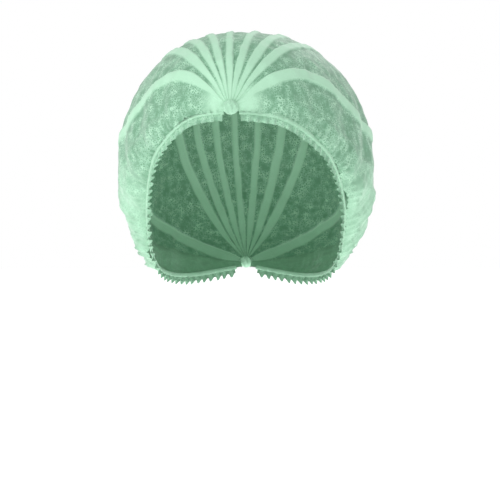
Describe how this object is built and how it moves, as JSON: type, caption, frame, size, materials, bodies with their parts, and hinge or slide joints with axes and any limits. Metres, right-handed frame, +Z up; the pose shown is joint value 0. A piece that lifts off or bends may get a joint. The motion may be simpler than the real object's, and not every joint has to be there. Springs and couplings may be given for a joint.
{
  "type": "disposable hair cover cap",
  "caption": "Pleated mint-green nonwoven hair cover, puffed over the head, with an elastic rim, a scalloped frill and gathered ends.",
  "frame": {"origin": "where the top of the wearer's head meets the inside of the crown", "axes": "+Z up, the wearer faces -Y, +X to the right of someone who looks at the wearer's face"},
  "size_m": [0.1914, 0.2169, 0.1892],
  "materials": {
    "crown": "matte mint-green spunbond cloth",
    "elastic": "pale mint casing over elastic",
    "ruffle": "matte mint-green spunbond cloth",
    "gather": "matte mint-green folded cloth"
  },
  "bodies": {
    "root": {"crown": "crown", "elastic_left": "elastic", "elastic_right": "elastic", "ruffle_left": "ruffle", "ruffle_right": "ruffle", "front_gather": "gather", "back_gather": "gather"}
  },
  "joints": []
}
